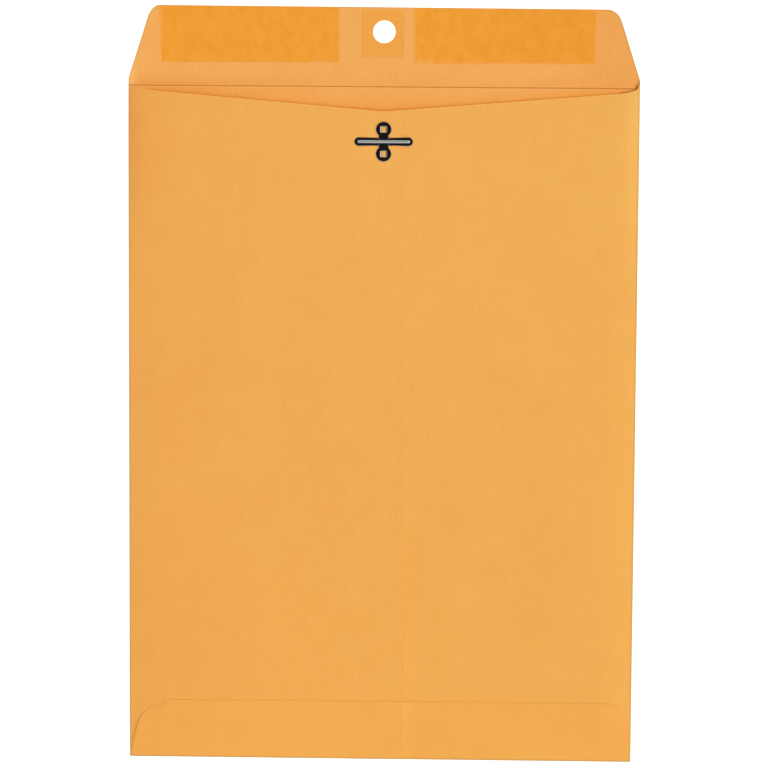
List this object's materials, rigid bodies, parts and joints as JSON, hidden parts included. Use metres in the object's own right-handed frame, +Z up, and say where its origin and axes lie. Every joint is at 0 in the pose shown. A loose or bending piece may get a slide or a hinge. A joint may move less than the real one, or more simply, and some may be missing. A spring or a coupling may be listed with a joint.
{
  "type": "clasp envelope",
  "caption": "Flat kraft paper clasp envelope, open at the top, with a hinged seal flap, gum strips, a patched clasp hole and a staked metal clasp whose prongs bend up.",
  "frame": {"origin": "centre of the footprint, on the table: the envelope lies on its address side with the seal flap open flat", "axes": "+X to the right seen from the clasp side, +Y from the bottom fold towards the seal flap, +Z up out of the clasp side"},
  "size_m": [0.2286, 0.3406, 0.0021],
  "materials": {
    "kraft_paper": "matte",
    "patch_paper": "matte",
    "dried_gum": "satin",
    "glue": "satin",
    "clasp_metal": "polished"
  },
  "bodies": {
    "envelope_body": {"address_panel": "kraft_paper", "left_side_fold": "kraft_paper", "right_side_fold": "kraft_paper", "left_side_panel": "kraft_paper", "right_side_panel": "kraft_paper", "bottom_fold": "kraft_paper", "bottom_flap": "kraft_paper", "seam_glue": "glue", "bottom_flap_glue": "glue", "clasp_base": "clasp_metal"},
    "flap": {"seal_flap": "kraft_paper", "gum_strip_left": "dried_gum", "gum_strip_right": "dried_gum", "hole_patch": "patch_paper"},
    "left_prong": {"prong_left": "clasp_metal"},
    "right_prong": {"prong_right": "clasp_metal"}
  },
  "joints": [
    {"name": "flap_fold", "type": "hinge", "parent": "envelope_body", "child": "flap", "pos_m": [0, 0.1345, 0.00105], "axis": [1, 0, 0], "range_deg": [0, 179]},
    {"name": "left_prong_bend", "type": "hinge", "parent": "envelope_body", "child": "left_prong", "pos_m": [-0.00225, 0.10998, 0.00162], "axis": [0, 1, 0], "range_deg": [0, 90]},
    {"name": "right_prong_bend", "type": "hinge", "parent": "envelope_body", "child": "right_prong", "pos_m": [0.00265, 0.10998, 0.00162], "axis": [0, -1, 0], "range_deg": [0, 90]}
  ]
}
